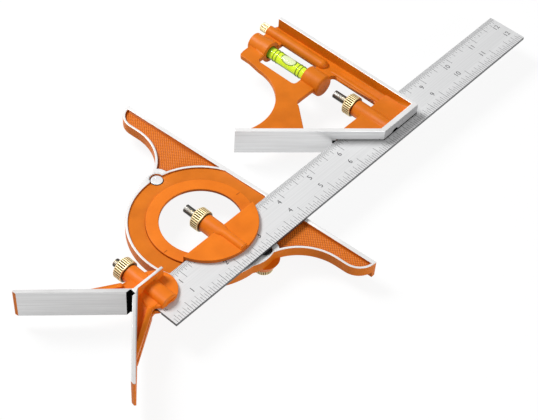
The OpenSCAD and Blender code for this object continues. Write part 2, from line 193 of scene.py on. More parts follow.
def ground_metal(name, dark, light, stretch, metallic=0.85, rough=(0.3, 0.42), gloss=0.5):
    """Bare ground metal: long fine score lines along one direction in colour, gloss and relief."""
    mat, tree, bsdf = shader(name, {"Metallic": metallic, "Specular IOR Level": gloss})
    lines = grain(tree, 60.0, stretch, 6.0)
    tint(tree, lines, [(0.25, dark), (0.75, light)], bsdf.inputs["Base Color"])
    spread(tree, grain(tree, 35.0), *rough, bsdf.inputs["Roughness"])
    relief(tree, lines, 0.02, 0.3, bsdf)
    return mat


def worn_metal(name, stops):
    """Cut metal, with painted shade in its grooves and painted highlight on its crests, by the height that the mesh
    carries.
    """
    mat, tree, bsdf = shader(name, {"Metallic": 0.6})
    tint(tree, crest_height(tree), stops, bsdf.inputs["Base Color"])
    spread(tree, grain(tree, 500.0), 0.24, 0.4, bsdf.inputs["Roughness"])
    relief(tree, grain(tree, 1500.0), 0.01, 0.3, bsdf)
    return mat


def ink(name, dark, light):
    """Dull dark colour, as of the etched and filled marks, worn a little unevenly."""
    mat, tree, bsdf = shader(name, {"Metallic": 0.0, "Roughness": 0.55})
    tint(tree, grain(tree, 700.0), [(0.35, dark), (0.65, light)], bsdf.inputs["Base Color"])
    return mat


def clear_tube(name):
    """The level's clear tube: nearly all light goes straight through it, with slight waviness in its gloss."""
    mat, tree, bsdf = shader(name, {"Base Color": (0.8, 1.0, 0.3, 1), "Alpha": 0.05, "Coat Weight": 0.5})
    spread(tree, grain(tree, 300.0), 0.03, 0.08, bsdf.inputs["Roughness"])
    return mat


def level_spirit(name, stops, glow):
    """Dyed spirit with a painted glow of its own colour, and painted shade where the crest height falls to 0."""
    mat, tree, bsdf = shader(name, {"Emission Strength": glow, "IOR": 1.33})
    for socket in ("Base Color", "Emission Color"):
        tint(tree, crest_height(tree), stops, bsdf.inputs[socket])
    spread(tree, grain(tree, 200.0), 0.05, 0.15, bsdf.inputs["Roughness"])
    return mat


# Directions of the score lines, as the squeeze of the noise along each axis
NO_LINES, ACROSS_RIM, DOWN_FACE = (1, 1, 1), (1, 1, 6), (0.4, 0.4, 18)
ALONG_RULE, ROUND_BOLT, DOWN_PIN = (0.15, 20, 20), (12, 1, 12), (6, 6, 1)

ENAMEL = orange_enamel("orange_enamel", (0.76, 0.172, 0.004), (0.88, 0.212, 0.008))
ENAMEL_HEAD = orange_enamel("orange_enamel_head", (0.63, 0.153, 0.003), (0.75, 0.190, 0.007))
# A darker copy of the enamel: painted shade on upright walls and edges, and on the turret's raised index lines.
ENAMEL_SHADE = orange_enamel("orange_enamel_painted_shade", (0.40, 0.085, 0.002), (0.52, 0.115, 0.004))
# A darker copy of the head's enamel: painted shade on the square wall's inner side.
ENAMEL_WALL_SHADE = orange_enamel("orange_enamel_wall_painted_shade", (0.57, 0.158, 0.003), (0.67, 0.188, 0.005))
# Hatch enamel by crest height: the dark low stops are painted shade in the grooves.
ENAMEL_HATCH = hatched_enamel("orange_enamel_hatch", [
    (0.0, (0.36, 0.070, 0.002)), (0.5, (0.62, 0.140, 0.004)), (1.0, (0.84, 0.215, 0.010))])
BARE_RIM = ground_metal("bare_rim", (0.74, 0.735, 0.73), (0.86, 0.855, 0.85), ACROSS_RIM, metallic=0.15)
# A darker copy of the bare rim: painted shade on the centre head's arm rims.
CENTER_RIM_SHADE = ground_metal("center_rim_painted_shade", (0.54, 0.537, 0.533), (0.66, 0.657, 0.653), ACROSS_RIM, metallic=0.15)
BARE_FACE = ground_metal("bare_face", (0.61, 0.61, 0.61), (0.75, 0.75, 0.75), DOWN_FACE, metallic=0.6)
MITRE_FACE = ground_metal("mitre_face", (0.70, 0.705, 0.71), (0.86, 0.865, 0.87), DOWN_FACE, metallic=0.7)
# A darker copy of the bare machined face: painted shade on the square's end face, which faces away from the key
# lamp.
END_FACE_SHADE = ground_metal("end_face_painted_shade", (0.36, 0.36, 0.365), (0.50, 0.50, 0.505), DOWN_FACE, metallic=0.15)
# Near black: painted shade in slots, bores, the end face's foot and the V's corner notch.
SLOT_SHADE = ground_metal("slot_painted_shade", (0.003, 0.003, 0.003), (0.008, 0.008, 0.008), NO_LINES, metallic=0.0,
                         rough=(0.7, 0.9), gloss=0.0)
RULE_SATIN = ground_metal("rule_satin", (0.65, 0.652, 0.656), (0.75, 0.752, 0.756), ALONG_RULE, metallic=0.05,
                          rough=(0.46, 0.58))
# Near black: painted shade on the rule's edges and in its groove.
RULE_EDGE_SHADE = ground_metal("rule_edge_painted_shade", (0.03, 0.03, 0.032), (0.09, 0.09, 0.094), ALONG_RULE, metallic=0.05)
BOLT_STEEL = ground_metal("bolt_steel", (0.55, 0.55, 0.56), (0.75, 0.75, 0.76), ROUND_BOLT)
# Near-black copy of the pin steel: painted shade on the lower lock bolt.
PIN_SHADE = ground_metal("pin_painted_shade", (0.012, 0.012, 0.013), (0.03, 0.03, 0.032), DOWN_PIN, metallic=0.2)
PIN_STEEL = worn_metal("pin_steel", [
    (0.0, (0.05, 0.03, 0.02)), (0.6, (0.36, 0.35, 0.34)), (1.0, (0.74, 0.74, 0.75))])
BUSH_BRASS = ground_metal("bush_brass", (0.52, 0.40, 0.19), (0.74, 0.60, 0.35), NO_LINES, rough=(0.26, 0.4))
NUT_BRASS = worn_metal("nut_brass", [
    (0.0, (0.012, 0.007, 0.001)), (0.4, (0.30, 0.19, 0.055)), (0.8, (0.95, 0.80, 0.46))])
THREAD_STEEL = worn_metal("thread_steel", [
    (0.0, (0.006, 0.006, 0.005)), (0.4, (0.17, 0.165, 0.15)), (0.8, (0.86, 0.85, 0.82))])
MARK_BLACK = ink("mark_black", (0.02, 0.02, 0.022), (0.055, 0.055, 0.06))
RING_OLIVE = ink("ring_olive", (0.10, 0.15, 0.006), (0.17, 0.23, 0.012))
PLUG_GREY = ink("plug_grey", (0.03, 0.03, 0.03), (0.08, 0.08, 0.08))
TUBE_CLEAR = clear_tube("tube_clear")
# Spirit and bubble glow a little: painted light, as neither is a lamp.
SPIRIT = level_spirit("level_spirit", [
    (0.0, (0.008, 0.06, 0.003)), (0.5, (0.19, 0.36, 0.006)), (1.0, (0.58, 0.76, 0.010))], 0.36)
BUBBLE = level_spirit("level_bubble", [
    (0.0, (0.03, 0.06, 0.004)), (0.6, (0.46, 0.58, 0.12)), (1.0, (0.66, 0.73, 0.46))], 0.2)


# Meshes

def in_scene(thing):
    """Links an object to the scene."""
    bpy.context.scene.collection.objects.link(thing)
    return thing


def made_mesh(holder):
    """The mesh that an object has once its modifiers or its outline are worked out."""
    return bpy.data.meshes.new_from_object(holder.evaluated_get(bpy.context.evaluated_depsgraph_get()))


def raw_mesh(name, verts, faces):
    """A mesh from points in mm and face corners."""
    mesh = bpy.data.meshes.new(name)
    mesh.from_pydata(world(verts).tolist(), [], faces)
    return mesh


def close_seams(mesh):
    """Joins the points of a mesh that lie in one place, and takes away the faces that have no area."""
    work = bmesh.new()
    work.from_mesh(mesh)
    bmesh.ops.remove_doubles(work, verts=work.verts, dist=1e-6)
    bmesh.ops.dissolve_degenerate(work, edges=work.edges, dist=1e-6)
    work.to_mesh(mesh)
    work.free()


def smooth(mesh, crease):
    """Smooth shading, apart from the edges that turn by more than crease degrees."""
    mesh.polygons.foreach_set("use_smooth", np.ones(len(mesh.polygons), bool))
    mesh.set_sharp_from_angle(angle=radians(crease))


def fasten(name, mesh, body, stands_for):
    """A mesh as a piece that rides on a body and stands for CAD nodes."""
    piece = in_scene(bpy.data.objects.new(name, mesh))
    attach(piece, body)
    if stands_for:
        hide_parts(*stands_for)
    return piece


def put(name, verts, faces, material, body, slot, stands_for=(), crease=35.0, crest=None):
    """A new piece from whole arrays of points in mm and face corners, riding on a body. crest is a height
    from 0 to 1 at each point, for the finish."""
    mesh = raw_mesh(name, verts, faces)
    if crest is not None:
        mesh.attributes.new("crest", "FLOAT", "POINT").data.foreach_set("value", np.ravel(crest))
    close_seams(mesh)
    mesh.materials.append(material)
    smooth(mesh, crease)
    return fasten(name, mesh, body, stands_for)


def skin(rows, cols, wrap=False):
    """Corner numbers of the quads on a grid of rows by cols: columns close on themselves, rows too if wrap."""
    i, j = np.meshgrid(np.arange(rows if wrap else rows - 1), np.arange(cols), indexing="ij")
    a, b = (i % rows) * cols, ((i + 1) % rows) * cols
    k = (j + 1) % cols
    return np.stack([a + j, a + k, b + k, b + j], -1).reshape(-1, 4)


def shell(points, flip=False):
    """A grid's points and faces: columns close on themselves, and one many-sided face closes each end row. flip
    turns the faces the other way round."""
    rows, cols = points.shape[:2]
    ends = [list(range(cols))[::-1], list(range((rows - 1) * cols, rows * cols))]
    faces = skin(rows, cols).tolist() + ends
    return points.reshape(-1, 3), [f[::-1] for f in faces] if flip else faces


def joined(groups):
    """Several groups of points and faces as one, each group's corner numbers moved past the points before it."""
    verts, faces, start = [], [], 0
    for points, corners in groups:
        verts.append(points)
        faces += [[c + start for c in face] for face in corners]
        start += len(points)
    return np.concatenate(verts), faces


def carried(x, y, z):
    """A section of x and z carried along Y: one row of points at each y."""
    return np.stack(np.broadcast_arrays(x, np.array(y)[:, None], z), -1)


def around(along, cols):
    """Shares of a turn and distances along an axis, on a grid with one row for each distance."""
    return np.meshgrid(np.linspace(0, 1, cols, endpoint=False), along)


def lay_on_axis(along, radius, angle, axis, centre):
    """Polar points about an axis, with their distances along it, as places in mm."""
    side, up = radius * np.cos(angle), radius * np.sin(angle)
    along = np.broadcast_to(along, side.shape)
    if axis == "y":
        return np.stack([centre[0] + side, along, centre[2] + up], -1)
    return np.stack([centre[0] + side, centre[1] + up, along], -1)


def revolved(along, radius, axis, centre, cols=64):
    """A surface of revolution from rows of distance along the axis and radius, and each point's share of a turn."""
    turns, along = around(along, cols)
    return lay_on_axis(along, np.asarray(radius)[:, None], 2 * np.pi * turns, axis, centre), turns


def saw(t):
    """A saw wave of t: 0 at whole numbers, 1 half way between."""
    return 1 - np.abs(2 * (t % 1) - 1)


# Castings

def height_of(face):
    """The least height of a face, in metres: twice its area over its longest side."""
    return 2 * face.calc_area() / max(edge.calc_length() for edge in face.edges)


def mark_outer_edges(work, least):
    """Marks for rolling over the outward edges past 45 degrees whose neighbours are all wide enough."""
    layers = work.edges.layers.float
    weight = layers.get("bevel_weight_edge") or layers.new("bevel_weight_edge")
    heights = {face.index: height_of(face) for face in work.faces}
    for edge in work.edges:
        if len(edge.link_faces) != 2 or edge.calc_length() < 2 * least * MM:
            continue
        beside = min(heights[f.index] for f in edge.link_faces)
        around_it = min(heights[f.index] for v in edge.verts for f in v.link_faces)
        outward = edge.calc_face_angle_signed() > radians(45)
        edge[weight] = float(outward and beside > 1.3 * least * MM and around_it > 0.5 * least * MM)


def merged(name, source, round_over):
    """A copy of a mesh with its corners merged and the edges to roll over marked."""
    work = bmesh.new()
    work.from_mesh(source)
    bmesh.ops.remove_doubles(work, verts=work.verts, dist=2e-6)
    work.faces.index_update()
    mark_outer_edges(work, round_over)
    mesh = bpy.data.meshes.new(name)
    work.to_mesh(mesh)
    work.free()
    return mesh


def trimmed(mesh, tool):
    """A mesh with the space of a second one cut out of it."""
    holders = [in_scene(bpy.data.objects.new("trim", m)) for m in (mesh, tool)]
    cut = holders[0].modifiers.new("cut", "BOOLEAN")
    cut.operation, cut.solver, cut.object = "DIFFERENCE", "EXACT", holders[1]
    result = made_mesh(holders[0])
    for holder in holders:
        bpy.data.objects.remove(holder)
    return result


def window_tool(name):
    """What is cut from the web beside the level, so that its window reaches the scriber's barrel: a section
    between an upright line inside the window and the barrel's own round, carried along the window."""
    tube, knob = in_mm("level_tube"), in_mm("scriber_knob")
    barrel = (knob[0] + knob[1]) / 2
    bottom, top, inset = -2.6, 0.6, TUBE_SEAT + 0.5
    z = np.linspace(bottom, top, 24)
    x = barrel[0] - np.sqrt(BARREL_R ** 2 - (z - barrel[2]) ** 2)
    x = np.concatenate([x, [tube[1][0] + 0.3] * 2])
    z = np.concatenate([z, [top, bottom]])
    return raw_mesh(name, *shell(carried(x, [tube[0][1] + inset, tube[1][1] - inset], z), flip=True))


def foot_tool(name):
    """What is cut from the foot of the square's end face, where the slot and the clamp's bore break through it: a
    low strip with an arc in its middle, carried a short way along Y."""
    low, high = in_mm("square_casting")
    left, right, middle = high[0] - 30.2, high[0] - 0.5, high[0] - SQUARE_AXIS
    start = np.arcsin(FOOT_GAP / NOTCH_R)
    t = np.linspace(np.pi - start, start, 32)
    x = np.concatenate([[left] * 2, middle + NOTCH_R * np.cos(t), [right] * 2])
    z = np.concatenate([[-0.1, FOOT_GAP], NOTCH_R * np.sin(t), [FOOT_GAP, -0.1]])
    return raw_mesh(name, *shell(carried(x, [low[1] - 1, low[1] + NOTCH_DEEP], z)))


def finish_faces(mesh, finishes, choose):
    """Gives a mesh its finishes: choose(centres, normals) in mm gives each face the number of its own."""
    mesh.materials.clear()
    for finish in finishes:
        mesh.materials.append(finish)
    count = len(mesh.polygons)
    centres, normals = np.zeros(count * 3), np.zeros(count * 3)
    mesh.polygons.foreach_get("center", centres)
    mesh.polygons.foreach_get("normal", normals)
    picked = choose((centres.reshape(-1, 3) - CORNER) / MM, normals.reshape(-1, 3))
    mesh.polygons.foreach_set("material_index", picked.astype(np.int32))


def casting(name, node, body, finishes, choose, round_over=0.3, tools=()):
    """A CAD node's own faces, less the tools' space if there are any, merged at their corners, with its outward
    edges rolled over a small radius."""
    source = nodes[node].data
    for tool in tools:
        source = trimmed(merged("uncut", source, round_over), tool)
    mesh = merged(name, source, round_over)
    finish_faces(mesh, finishes, choose)
    smooth(mesh, 30)
    piece = fasten(name, mesh, body, [node])
    edge = piece.modifiers.new("rolled_edges", "BEVEL")
    edge.width, edge.segments, edge.limit_method = round_over * MM, 2, "WEIGHT"
    edge.use_clamp_overlap = False
    even = piece.modifiers.new("even_shading", "WEIGHTED_NORMAL")
    even.keep_sharp = True
    return piece


def towards(normals, direction):
    """True where a face looks along a direction."""
    d = np.array(direction, float)
    return normals @ (d / np.linalg.norm(d)) > 0.995


def in_slot(centres, normals):
    """True on the walls of the slot that the rule runs in."""
    over, under = (np.abs(centres[:, 2] - z) < NEAR for z in (0.05, -RULE_T - 0.05))
    flat = (over & (normals[:, 2] < -0.99)) | (under & (normals[:, 2] > 0.99))
    beside = (np.abs(centres[:, 1] - RULE_W) < 2) & (np.abs(centres[:, 2] + RULE_T / 2) < 1.2)
    return flat | (towards(normals, (0, -1, 0)) & beside)


def rule_finish(centres, normals):
    """Satin on the two broad faces, painted shade on the edges and in the groove, whose floor is 1.2 mm down."""
    return ((np.abs(normals[:, 2]) < 0.9) | (np.abs(centres[:, 2] + 1.2) < 0.3)).astype(int)


def square_dark(centres, normals):
    """True where the square gets painted shade: in its slot and the slot's mouth, in the recess over the rule, in
    the clamp's bore and in the foot of the end face."""
    low, high = in_mm("square_casting")
    x, y, z = centres.T
    inside = (x + y > MITRE_SUM + 1) & (y > low[1] + 0.5)
    mouth = inside & (y < RULE_W + 0.1) & (np.abs(z - 0.55) < 0.65)
    ceiling = (normals[:, 2] < -0.9) & (np.abs(z - 1.1) < NEAR)
    bore = (np.hypot(x - high[0] + SQUARE_AXIS, z + RULE_T / 2) < 3.3) & (np.abs(normals[:, 1]) < 0.5)
    foot = (np.abs(z - 1.5) < 1.6) & (np.abs(y - low[1] - 0.3) < 0.25)
    return in_slot(centres, normals) | mouth | ceiling | bore | foot


def square_finish(centres, normals):
    """Bare on the square and mitre faces and on the wall rims, a darker bare copy as painted shade on the end face,
    a darker enamel as painted shade on the square wall's inner side, painted shade in the slot, and enamel
    elsewhere."""
    low, high = in_mm("square_casting")
    x, y, z = centres.T
    wall = towards(normals, (-1, 0, 0)) & (x > high[0] - 6)
    tip = towards(normals, (-1, 1, 0)) & (y - x > (y - x).max() - 1)
    face = towards(normals, (1, 0, 0)) & (x > high[0] - NEAR)
    end = towards(normals, (0, -1, 0)) & (y < low[1] + NEAR)
    mitre = towards(normals, (-1, -1, 0)) & (np.abs(x + y - MITRE_SUM) < 1)
    rim = (np.abs(normals[:, 2]) > 0.99) & ((z > high[2] - NEAR) | (z < low[2] + NEAR))
    dark = square_dark(centres, normals)
    return np.select([dark, rim, end, face | mitre | tip, wall], [3, 1, 4, 2, 5], 0)


def center_finish(centres, normals):
    """Bare on the V's two faces and on the rims, the arms' rims in a darker copy of the rim metal as painted shade,
    the short wall's in the brighter copy, painted shade in the V's corner notch, enamel elsewhere."""
    high = in_mm("center_casting")[1]
    x, y, z = centres.T
    out, across = x + VEE_X, y - RULE_W
    vee = (towards(normals, (-1, -1, 0)) & (np.abs(out + across) < 1)) | (
        towards(normals, (-1, 1, 0)) & (np.abs(out - across) < 1))
    rim = (normals[:, 2] > 0.99) & (z > high[2] - NEAR)
    short_rim = rim & (out > 2)
    squared = (np.abs(normals[:, :2]) > 0.99).any(1) & (np.abs(normals[:, 2]) < 0.1)
    notch = squared & (x < -5) & (x > -10) & (np.abs(across) < 2.5)
    return np.select([notch, short_rim, rim, vee], [3, 4, 1, 2], 0)


def protractor_finish(centres, normals):
    """Bare on the rims and the base edge, the darker enamel as painted shade on the upper part of the upright walls,
    and enamel elsewhere."""
    top = in_mm("protractor_frame")[1][2]
    rim = (normals[:, 2] > 0.99) & (centres[:, 2] > top - NEAR)
    ahead = np.array([np.cos(radians(SWING)), np.sin(radians(SWING)), 0])
    reach = centres @ ahead
    base = towards(normals, ahead) & (reach > reach.max() - 0.2)
    shaded_upper_walls = (np.abs(normals[:, 2]) < 0.05) & (centres[:, 2] > top - 1.3)
    return np.select([rim, base, shaded_upper_walls], [1, 2, 3], 0)


def turret_finish(centres, normals):
    """The darker enamel as painted shade on the upright edges, apart from those beside the barrel, and enamel
    elsewhere.
    """
    beside = (np.abs(centres[:, 0] - TURRET[0]) < 7) & (centres[:, 1] > RULE_W / 2)
    return ((np.abs(normals[:, 2]) < 0.05) & ~beside).astype(int)


def one_finish(centres, normals):
    """The first finish on every face."""
    return np.zeros(len(centres), int)


# Nuts, bolts and the scriber's knob

def knurl(turns, count):
    """Straight knurl from 0 to 1: a saw ridge that comes count times a turn, with flattened crests."""
    return np.clip(1.3 * saw(count * turns), 0, 1)


def knurled_nut(node, axis, bore, chamfer, count):
    """A ring of revolution: profile from the bore over both chamfered faces and back, with the radius of the band
    between the chamfers lowered between the knurl's ridges."""
    low, high = in_mm(node)
    k = "xyz".index(axis)
    start, stop, outer, rows = low[k], high[k], (high[0] - low[0]) / 2, 25
    side = [bore, outer * 0.62, outer - chamfer]
    along = np.concatenate([[start] * 3, np.linspace(start + chamfer, stop - chamfer, rows), [stop] * 3])
    radius = np.concatenate([side, np.full(rows, outer), side[::-1]])
    turns, along = around(along, 8 * count)
    groove = 1 - knurl(turns, count)
    groove[:4] = groove[-4:] = 0
    points = lay_on_axis(along, radius[:, None] - 0.34 * groove, 2 * np.pi * turns, axis, (low + high) / 2)
    faces = skin(*turns.shape, wrap=True)
    # The crest height, sharpened, paints shade in the knurl's grooves and highlight on its ridges.
    crest = (1 - groove) ** 2.2
    # The seat face against the boss is held low: painted shade between nut and boss.
    crest[:3] = 0.12
    return put(node + "_knurled", points.reshape(-1, 3), (faces if axis == "z" else faces[:, ::-1]).tolist(),
               NUT_BRASS, node, "nut_brass", [node], crest=crest)


def knurled_knob(node, body, count):
    """A solid of revolution: flat end, knurled band, chamfered end, the band's radius lowered between the knurl's
    ridges."""
    low, high = in_mm(node)
    start, stop, outer, rows = low[1], high[1], (high[0] - low[0]) / 2, 21
    middle, chamfer = outer * 0.4, 0.6
    along = np.concatenate([[start] * 2, np.linspace(start + 0.25, stop - 0.7, rows), [stop - chamfer, stop, stop]])
    radius = np.concatenate([[middle, outer - 0.2], np.full(rows, outer), [outer - 0.05, outer - chamfer, middle]])
    turns, along = around(along, 8 * count)
    groove = 1 - knurl(turns, count)
    groove[:3] = groove[-4:] = 0
    points = lay_on_axis(along, radius[:, None] - 0.25 * groove, 2 * np.pi * turns, "y", (low + high) / 2)
    return put(node + "_knurled", *shell(points, flip=True), NUT_BRASS, body, "nut_brass", [node], crest=1 - groove)


def clamp_bolt(node, thread_y):
    """A rod along Y. Its radius dips by a saw wave of distance / pitch - turn past thread_y. Below the rule its
    section is cut flat: points above the flat come down onto it, held inside the flat's half width."""
    low, high = in_mm(node)
    x, radius = (low[0] + high[0]) / 2, (high[0] - low[0]) / 2
    tip, cut, pitch, uncut = high[1], RULE_W + 0.95, 0.8, 9.0
    heel, toe, under, tongue = low[1] + 0.3, low[1] + 2.1, -RULE_T - 0.1, -RULE_T + 0.74
    plain = [low[1], heel, heel, toe, toe, cut, cut]
    thread = np.concatenate([[thread_y - 6], np.arange(thread_y, tip - 0.3, pitch / 8), [tip, tip]])
    flat = np.concatenate([[under, under, tongue, tongue, under, under, uncut], np.full(len(thread), uncut)])
    turns, along = around(np.concatenate([plain, thread]), 40)
    threaded = np.clip((along - thread_y) / 0.6, 0, 1) * np.clip((tip + 0.2 - along) / 0.5, 0, 1)
    groove = threaded * (1 - saw(along / pitch - turns))
    size = radius - 0.38 * groove
    size[-1] = radius - 0.6
    points = lay_on_axis(along, size, 2 * np.pi * turns, "y", [x, 0, -RULE_T / 2])
    above = points[..., 2] > flat[:, None]
    half = np.sqrt(np.clip(radius ** 2 - (flat + RULE_T / 2) ** 2, 0.01, None))[:, None]
    points[..., 0] = np.where(above, np.clip(points[..., 0], x - half, x + half), points[..., 0])
    points[..., 2] = np.where(above, flat[:, None], points[..., 2])
    # Painted reflection: bright bands at fixed turns round the bolt, with painted shade in the thread's grooves.
    painted_glint_bands = 0.1 + 0.9 * np.cos(3 * np.pi * turns) ** 2
    return put(node + "_threaded", *shell(points, flip=True), THREAD_STEEL, node, "bolt_steel", [node],
               crease=50.0, crest=(1 - 0.6 * groove) * painted_glint_bands)


def lock_bolt(node, finish):
    """A turned bolt along Z: rows of height and radius from its foot, up the shank, under and over the rounded
    head to a shallow dish in its top. The crest height is 0 on the head's side, painted shade as a dark outline."""
    low, high = in_mm(node)
    foot, top, head, shank, roll, dish = low[2], high[2], (high[0] - low[0]) / 2, 2.4, 0.5, 0.12
    t = np.linspace(0, np.pi / 2, 8)
    along = np.concatenate([[foot, foot + 0.4], [top - 1.46] * 2, top - roll + roll * np.sin(t),
                            [top, top - dish, top - dish]])
    radius = np.concatenate([[shank - 0.4, shank, shank, head], head - roll + roll * np.cos(t), [1.75, 1.65, 0.3]])
    points, turns = revolved(along, radius, "z", (low + high) / 2)
    crest = np.ones_like(turns)
    crest[3:10] = 0
    return put(node + "_turned", *shell(points), finish, node, "bolt_steel", [node], crest=crest)


# Bosses and ridges that stand on the castings

def level_socket(name):
    """The boss at the level's near end, a cup of revolution: from the floor of its bore out over the mouth, along
    the side and round the far edge to the middle of its end."""
    low, high = in_mm("level_tube")
    mouth, outer, bore, roll, hub = low[1] + TUBE_SEAT, 6.84, 4.1, 1.2, 0.3
    floor, lip, far = mouth - 6.9, mouth + 0.03, mouth - 13
    t = np.linspace(0, np.pi / 2, 8)
    along = np.concatenate([[floor, floor, lip, lip, mouth - 0.3], far + roll - roll * np.sin(t), [far]])
    radius = np.concatenate([[hub, bore, bore, outer - 0.3, outer], outer - roll + roll * np.cos(t), [hub]])
    points, _ = revolved(along, radius, "y", (low + high) / 2, 96)
    return put(name, *shell(points), ENAMEL_HEAD, "square", "orange_paint")


def ridge(name, body, material, x, rows, base, squareness=1.0, bolt_room=0.0):
    """A rounded ridge along Y: rows of place, height of the middle, half width and half height, each an oval
    section whose corners fill out as squareness falls below 1, cut flat at the base. Past the rule's edge the base
    arches over the clamp bolt with a radius of bolt_room."""
    y, middle, wide, tall = (np.array(c)[:, None] for c in zip(*rows))
    angle = np.linspace(0, 2 * np.pi, 64, endpoint=False)[None]
    side, up = (np.sign(v) * np.abs(v) ** squareness for v in (np.cos(angle), np.sin(angle)))
    points = np.stack(np.broadcast_arrays(x + wide * side, y, middle + tall * up), -1)
    sunk = np.clip((base - middle) / tall, 0, 1) ** (1 / squareness)
    half = wide * np.sqrt(1 - sunk ** 2) ** squareness
    under = points[..., 2] < base
    points[..., 0] = np.where(under, np.clip(points[..., 0], x - half, x + half), points[..., 0])
    arch = np.sqrt(np.clip(bolt_room ** 2 - (points[..., 0] - x) ** 2, 0, None)) - RULE_T / 2
    points[..., 2] = np.maximum(points[..., 2], np.where(y > RULE_W, np.maximum(base, arch), base))
    return put(name, *shell(points, flip=True), material, body, "orange_paint")


def turret_ridge_rows():
    """From a flat end near the plate's edge along the plate, then eased over to the barrel's round, on the rule's
    middle, past the rule's edge."""
    end = in_mm("turret_bolt")[0][1] - 1 - RIDGE_R
    middle, drop = 1.6, 2.6
    rows = [(end - 0.05, middle, RIDGE_R - 0.4, RIDGE_R - 0.4), (end + 0.3, middle, RIDGE_R, RIDGE_R)]
    for share in np.linspace(0, 1, 12):
        ease = share * share * (3 - 2 * share)
        size = RIDGE_R + (TURRET_BARREL_R - RIDGE_R) * ease
        rows.append((RULE_W - 3.5 + 4.3 * share, middle - drop * ease, size, size))
    return rows


def center_ridge_rows():
    """From a flat end over the bolt's tip to the short wall, one full section."""
    end, middle, wide, tall, roll = in_mm("center_bolt")[0][1] - 0.65, 0.5, 5.3, 4.4, 0.5
    return [(end, middle, wide - roll, tall - roll), (end + roll, middle, wide, tall),
            (RULE_W + 0.3, middle, wide, tall)]


def strip_rib_rows():
    """A low rib beside the square head's opening, from its corner block to the foot of the scriber's barrel."""
    return [(RULE_W + 1.5, 0.3, 1.5, 1.1), (RULE_W + 34, 0.3, 1.5, 1.1), (RULE_W + 38.5, 0.3, 1.2, 0.5)]


# Hatched floors of the wings

def arc(centre, radius, y):
    """How far right a circle reaches at each y, or far left where it doesn't."""
    room = radius ** 2 - (y - centre[1]) ** 2
    return np.where(room > 0, centre[0] + np.sqrt(np.clip(room, 0, None)), -99.0)


def pocket_sides(y):
    """Where a wing's pocket begins and ends at each y: from the ring, the lock's boss, the hollow side or the tip's
    round, whichever is furthest, to the rim of the base edge."""
    tip = TIP[0] - np.sqrt(np.clip((TIP_R - RIM) ** 2 - (y - TIP[1]) ** 2, 0, None))
    left = np.max([arc((0, 0), RING_R, y), arc(LOCK, LOCK_R, y),
                   arc(HOLLOW, HOLLOW_R + RIM, np.minimum(y, HOLLOW[1])), np.where(y > TIP[1], tip, -99)], 0)
    return left + 0.1, np.full_like(y, BASE_X - BASE_RIM - 0.1)


def pocket_hatch(name, mirror):
    """The floor between a wing's rims: rows along the wing, each stretched between the pocket's two sides, raised
    by the lower of two saw waves that cross at right angles, and closed underneath."""
    y, share, pitch = np.linspace(18.2, 86.2, 340), np.linspace(0, 1, 110), 1.7
    left, right = pocket_sides(y)
    x = left[:, None] + (right - left)[:, None] * share
    y = np.broadcast_to(y[:, None], x.shape)
    crest = np.clip(2 * np.minimum(saw((x + y) / pitch), saw((x - y) / pitch)), 0, 1)
    # The crest height also falls to 0 towards the pocket's sides, which paints shade along the rims.
    crest = crest * np.clip(8 * np.minimum(share, 1 - share), 0, 1)
    z = FLOOR_Z + 0.03 + 0.22 * crest
    x = np.concatenate([x, x[:, ::-1]], 1)
    y = np.concatenate([y, y], 1) * mirror
    z = np.concatenate([z, np.full_like(z, FLOOR_Z - 0.2)], 1)
    crest = np.concatenate([crest, np.zeros_like(crest)], 1)
    c, s = np.cos(radians(SWING)), np.sin(radians(SWING))
    points = np.stack([TURRET[0] + c * x - s * y, TURRET[1] + s * x + c * y, z], -1)
    return put(name, *shell(points, flip=mirror < 0), ENAMEL_HATCH, "frame", "orange_paint", crest=crest)


# The level

def level_rings(name):
    """Four thin bands round the tube, each a square-edged ring: a closed profile turned about the tube's axis."""
    low, high = in_mm("level_tube")
    outer, half = (high[0] - low[0]) / 2, 0.2
    inside, outside = outer - 0.2, outer + 0.03
    groups = []
    for y in np.array([0.148, 0.228, 0.772, 0.852]) * TUBE_WINDOW + (low[1] + TUBE_SEAT):
        points, turns = revolved([y - half, y - half, y + half, y + half], [inside, outside, outside, inside], "y",
                                 (low + high) / 2)
        groups.append((points.reshape(-1, 3), skin(*turns.shape, wrap=True)[:, ::-1].tolist()))
    return put(name, *joined(groups), RING_OLIVE, "square", "vial_glass")


def level_spirit_core(name):
    """The spirit as it shows through the tube, which spreads it over nearly the whole bore: a rod with painted shade
    by its crest height towards the far end and along both of its sides, full colour only in a band of turns."""
    low, high = in_mm("level_fluid")
    start, stop, outer, rows = low[1], high[1], (high[0] - low[0]) / 2 + 0.6, 40
    along = np.concatenate([[start], np.linspace(start + 0.02, stop - 0.02, rows), [stop]])
    radius = np.concatenate([[outer - 0.3], np.full(rows, outer), [outer - 0.3]])
    points, turns = revolved(along, radius, "y", (low + high) / 2)
    # The band of turns about bright_turn keeps full colour; the rest takes painted shade.
    bright_turn = 0.361
    crest = np.clip((stop - 5.0 - points[..., 1]) / 3.5, 0, 1)
    crest = crest * np.clip((0.2 - np.abs(turns - bright_turn)) / 0.05, 0.05, 1)
    return put(name, *shell(points, flip=True), SPIRIT, "square", "vial_fluid", ["level_fluid"], crest=crest)


